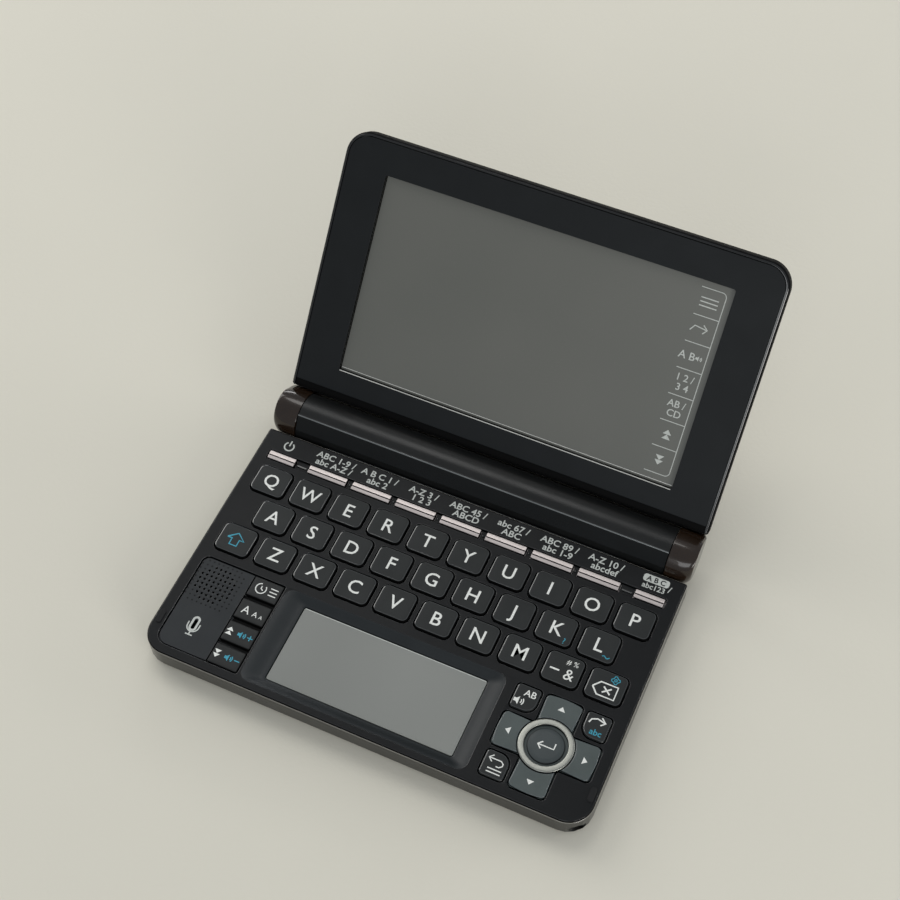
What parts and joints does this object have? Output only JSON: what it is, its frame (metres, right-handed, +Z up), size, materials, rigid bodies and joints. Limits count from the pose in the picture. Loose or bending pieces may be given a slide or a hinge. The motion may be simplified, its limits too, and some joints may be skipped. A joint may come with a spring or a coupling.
{
  "type": "electronic dictionary",
  "caption": "Pocket electronic dictionary: keyboard base with handwriting panel and cursor keys, barrel hinge and a tilting screen lid.",
  "frame": {"origin": "under the middle of the open object's bounding box, on the table it stands on", "axes": "+X along the hinge to the user's right, +Y from the front edge to the lid, +Z up"},
  "size_m": [0.148, 0.1642, 0.0833],
  "materials": {
    "cover_plastic": "fine spark-eroded matte, near black",
    "shell_plastic": "satin taupe lacquer",
    "key_plastic": "smooth matte, dark grey",
    "cursor_plastic": "satin slate grey",
    "bar_metal": "plated, pinkish silver",
    "ring_metal": "satin silver plating",
    "bezel_plastic": "fine matte, black",
    "screen_film": "unlit display under a satin film",
    "panel_film": "unlit touch panel under a satin film",
    "board_laminate": "green laminate with a grey rubber key mat",
    "cap_plastic": "high gloss, dark bronze",
    "cell_metal": "printed metal sleeve",
    "stylus_plastic": "smooth matte, black",
    "legend_white": "pad-printed ink, white",
    "legend_teal": "pad-printed ink, teal",
    "foot_rubber": "moulded rubber",
    "screw_steel": "zinc plated"
  },
  "bodies": {
    "base": {"base_top_cover": "cover_plastic", "base_bottom_case": "shell_plastic", "handwriting_panel": "panel_film", "hinge_barrel": "cover_plastic", "battery_cells": "cell_metal", "main_board": "board_laminate"},
    "lid": {"lid_back_cover": "shell_plastic", "lid_bezel": "bezel_plastic", "main_display": "screen_film", "hinge_cap_left": "cap_plastic", "hinge_cap_right": "cap_plastic"},
    "stylus": {"stylus": "stylus_plastic"},
    "battery_cover": {"battery_cover": "cover_plastic"},
    "key_power": {"key_power": "bar_metal"},
    "key_function_1": {"key_function_1": "bar_metal"},
    "key_function_2": {"key_function_2": "bar_metal"},
    "key_function_3": {"key_function_3": "bar_metal"},
    "key_function_4": {"key_function_4": "bar_metal"},
    "key_function_5": {"key_function_5": "bar_metal"},
    "key_function_6": {"key_function_6": "bar_metal"},
    "key_function_7": {"key_function_7": "bar_metal"},
    "key_menu": {"key_menu": "bar_metal"},
    "key_q": {"key_q": "key_plastic"},
    "key_w": {"key_w": "key_plastic"},
    "key_e": {"key_e": "key_plastic"},
    "key_r": {"key_r": "key_plastic"},
    "key_t": {"key_t": "key_plastic"},
    "key_y": {"key_y": "key_plastic"},
    "key_u": {"key_u": "key_plastic"},
    "key_i": {"key_i": "key_plastic"},
    "key_o": {"key_o": "key_plastic"},
    "key_p": {"key_p": "key_plastic"},
    "key_a": {"key_a": "key_plastic"},
    "key_s": {"key_s": "key_plastic"},
    "key_d": {"key_d": "key_plastic"},
    "key_f": {"key_f": "key_plastic"},
    "key_g": {"key_g": "key_plastic"},
    "key_h": {"key_h": "key_plastic"},
    "key_j": {"key_j": "key_plastic"},
    "key_k": {"key_k": "key_plastic"},
    "key_l": {"key_l": "key_plastic"},
    "key_shift": {"key_shift": "key_plastic"},
    "key_z": {"key_z": "key_plastic"},
    "key_x": {"key_x": "key_plastic"},
    "key_c": {"key_c": "key_plastic"},
    "key_v": {"key_v": "key_plastic"},
    "key_b": {"key_b": "key_plastic"},
    "key_n": {"key_n": "key_plastic"},
    "key_m": {"key_m": "key_plastic"},
    "key_symbol": {"key_symbol": "key_plastic"},
    "key_delete": {"key_delete": "key_plastic"},
    "key_history": {"key_history": "key_plastic"},
    "key_text_size": {"key_text_size": "key_plastic"},
    "key_page_up": {"key_page_up": "key_plastic"},
    "key_page_down": {"key_page_down": "key_plastic"},
    "key_voice": {"key_voice": "key_plastic"},
    "key_jump": {"key_jump": "key_plastic"},
    "key_back": {"key_back": "key_plastic"},
    "cursor_pad": {"cursor_pad": "cursor_plastic"},
    "key_enter": {"key_enter": "cursor_plastic"}
  },
  "joints": [
    {"name": "lid_hinge", "type": "hinge", "parent": "base", "child": "lid", "pos_m": [0, 0.01479, 0.009], "axis": [1, 0, 0], "range_deg": [-31, 129]},
    {"name": "stylus_slide", "type": "slide", "parent": "base", "child": "stylus", "axis": [0, -1, 0], "range_m": [0, 0.078]},
    {"name": "battery_cover_pull", "type": "slide", "parent": "base", "child": "battery_cover", "axis": [0, 0, -1], "range_m": [0, 0.008]},
    {"name": "power_press", "type": "slide", "parent": "base", "child": "key_power", "axis": [0, 0, -1], "range_m": [0, 0.0008], "stiffness_N_per_m": 250},
    {"name": "function_1_press", "type": "slide", "parent": "base", "child": "key_function_1", "axis": [0, 0, -1], "range_m": [0, 0.0008], "stiffness_N_per_m": 250},
    {"name": "function_2_press", "type": "slide", "parent": "base", "child": "key_function_2", "axis": [0, 0, -1], "range_m": [0, 0.0008], "stiffness_N_per_m": 250},
    {"name": "function_3_press", "type": "slide", "parent": "base", "child": "key_function_3", "axis": [0, 0, -1], "range_m": [0, 0.0008], "stiffness_N_per_m": 250},
    {"name": "function_4_press", "type": "slide", "parent": "base", "child": "key_function_4", "axis": [0, 0, -1], "range_m": [0, 0.0008], "stiffness_N_per_m": 250},
    {"name": "function_5_press", "type": "slide", "parent": "base", "child": "key_function_5", "axis": [0, 0, -1], "range_m": [0, 0.0008], "stiffness_N_per_m": 250},
    {"name": "function_6_press", "type": "slide", "parent": "base", "child": "key_function_6", "axis": [0, 0, -1], "range_m": [0, 0.0008], "stiffness_N_per_m": 250},
    {"name": "function_7_press", "type": "slide", "parent": "base", "child": "key_function_7", "axis": [0, 0, -1], "range_m": [0, 0.0008], "stiffness_N_per_m": 250},
    {"name": "menu_press", "type": "slide", "parent": "base", "child": "key_menu", "axis": [0, 0, -1], "range_m": [0, 0.0008], "stiffness_N_per_m": 250},
    {"name": "q_press", "type": "slide", "parent": "base", "child": "key_q", "axis": [0, 0, -1], "range_m": [0, 0.0008], "stiffness_N_per_m": 250},
    {"name": "w_press", "type": "slide", "parent": "base", "child": "key_w", "axis": [0, 0, -1], "range_m": [0, 0.0008], "stiffness_N_per_m": 250},
    {"name": "e_press", "type": "slide", "parent": "base", "child": "key_e", "axis": [0, 0, -1], "range_m": [0, 0.0008], "stiffness_N_per_m": 250},
    {"name": "r_press", "type": "slide", "parent": "base", "child": "key_r", "axis": [0, 0, -1], "range_m": [0, 0.0008], "stiffness_N_per_m": 250},
    {"name": "t_press", "type": "slide", "parent": "base", "child": "key_t", "axis": [0, 0, -1], "range_m": [0, 0.0008], "stiffness_N_per_m": 250},
    {"name": "y_press", "type": "slide", "parent": "base", "child": "key_y", "axis": [0, 0, -1], "range_m": [0, 0.0008], "stiffness_N_per_m": 250},
    {"name": "u_press", "type": "slide", "parent": "base", "child": "key_u", "axis": [0, 0, -1], "range_m": [0, 0.0008], "stiffness_N_per_m": 250},
    {"name": "i_press", "type": "slide", "parent": "base", "child": "key_i", "axis": [0, 0, -1], "range_m": [0, 0.0008], "stiffness_N_per_m": 250},
    {"name": "o_press", "type": "slide", "parent": "base", "child": "key_o", "axis": [0, 0, -1], "range_m": [0, 0.0008], "stiffness_N_per_m": 250},
    {"name": "p_press", "type": "slide", "parent": "base", "child": "key_p", "axis": [0, 0, -1], "range_m": [0, 0.0008], "stiffness_N_per_m": 250},
    {"name": "a_press", "type": "slide", "parent": "base", "child": "key_a", "axis": [0, 0, -1], "range_m": [0, 0.0008], "stiffness_N_per_m": 250},
    {"name": "s_press", "type": "slide", "parent": "base", "child": "key_s", "axis": [0, 0, -1], "range_m": [0, 0.0008], "stiffness_N_per_m": 250},
    {"name": "d_press", "type": "slide", "parent": "base", "child": "key_d", "axis": [0, 0, -1], "range_m": [0, 0.0008], "stiffness_N_per_m": 250},
    {"name": "f_press", "type": "slide", "parent": "base", "child": "key_f", "axis": [0, 0, -1], "range_m": [0, 0.0008], "stiffness_N_per_m": 250},
    {"name": "g_press", "type": "slide", "parent": "base", "child": "key_g", "axis": [0, 0, -1], "range_m": [0, 0.0008], "stiffness_N_per_m": 250},
    {"name": "h_press", "type": "slide", "parent": "base", "child": "key_h", "axis": [0, 0, -1], "range_m": [0, 0.0008], "stiffness_N_per_m": 250},
    {"name": "j_press", "type": "slide", "parent": "base", "child": "key_j", "axis": [0, 0, -1], "range_m": [0, 0.0008], "stiffness_N_per_m": 250},
    {"name": "k_press", "type": "slide", "parent": "base", "child": "key_k", "axis": [0, 0, -1], "range_m": [0, 0.0008], "stiffness_N_per_m": 250},
    {"name": "l_press", "type": "slide", "parent": "base", "child": "key_l", "axis": [0, 0, -1], "range_m": [0, 0.0008], "stiffness_N_per_m": 250},
    {"name": "shift_press", "type": "slide", "parent": "base", "child": "key_shift", "axis": [0, 0, -1], "range_m": [0, 0.0008], "stiffness_N_per_m": 250},
    {"name": "z_press", "type": "slide", "parent": "base", "child": "key_z", "axis": [0, 0, -1], "range_m": [0, 0.0008], "stiffness_N_per_m": 250},
    {"name": "x_press", "type": "slide", "parent": "base", "child": "key_x", "axis": [0, 0, -1], "range_m": [0, 0.0008], "stiffness_N_per_m": 250},
    {"name": "c_press", "type": "slide", "parent": "base", "child": "key_c", "axis": [0, 0, -1], "range_m": [0, 0.0008], "stiffness_N_per_m": 250},
    {"name": "v_press", "type": "slide", "parent": "base", "child": "key_v", "axis": [0, 0, -1], "range_m": [0, 0.0008], "stiffness_N_per_m": 250},
    {"name": "b_press", "type": "slide", "parent": "base", "child": "key_b", "axis": [0, 0, -1], "range_m": [0, 0.0008], "stiffness_N_per_m": 250},
    {"name": "n_press", "type": "slide", "parent": "base", "child": "key_n", "axis": [0, 0, -1], "range_m": [0, 0.0008], "stiffness_N_per_m": 250},
    {"name": "m_press", "type": "slide", "parent": "base", "child": "key_m", "axis": [0, 0, -1], "range_m": [0, 0.0008], "stiffness_N_per_m": 250},
    {"name": "symbol_press", "type": "slide", "parent": "base", "child": "key_symbol", "axis": [0, 0, -1], "range_m": [0, 0.0008], "stiffness_N_per_m": 250},
    {"name": "delete_press", "type": "slide", "parent": "base", "child": "key_delete", "axis": [0, 0, -1], "range_m": [0, 0.0008], "stiffness_N_per_m": 250},
    {"name": "history_press", "type": "slide", "parent": "base", "child": "key_history", "axis": [0, 0, -1], "range_m": [0, 0.0008], "stiffness_N_per_m": 250},
    {"name": "text_size_press", "type": "slide", "parent": "base", "child": "key_text_size", "axis": [0, 0, -1], "range_m": [0, 0.0008], "stiffness_N_per_m": 250},
    {"name": "page_up_press", "type": "slide", "parent": "base", "child": "key_page_up", "axis": [0, 0, -1], "range_m": [0, 0.0008], "stiffness_N_per_m": 250},
    {"name": "page_down_press", "type": "slide", "parent": "base", "child": "key_page_down", "axis": [0, 0, -1], "range_m": [0, 0.0008], "stiffness_N_per_m": 250},
    {"name": "voice_press", "type": "slide", "parent": "base", "child": "key_voice", "axis": [0, 0, -1], "range_m": [0, 0.0008], "stiffness_N_per_m": 250},
    {"name": "jump_press", "type": "slide", "parent": "base", "child": "key_jump", "axis": [0, 0, -1], "range_m": [0, 0.0008], "stiffness_N_per_m": 250},
    {"name": "back_press", "type": "slide", "parent": "base", "child": "key_back", "axis": [0, 0, -1], "range_m": [0, 0.0008], "stiffness_N_per_m": 250},
    {"name": "cursor_pad_press", "type": "slide", "parent": "base", "child": "cursor_pad", "axis": [0, 0, -1], "range_m": [0, 0.0006], "stiffness_N_per_m": 250},
    {"name": "enter_press", "type": "slide", "parent": "base", "child": "key_enter", "axis": [0, 0, -1], "range_m": [0, 0.0008], "stiffness_N_per_m": 250}
  ]
}
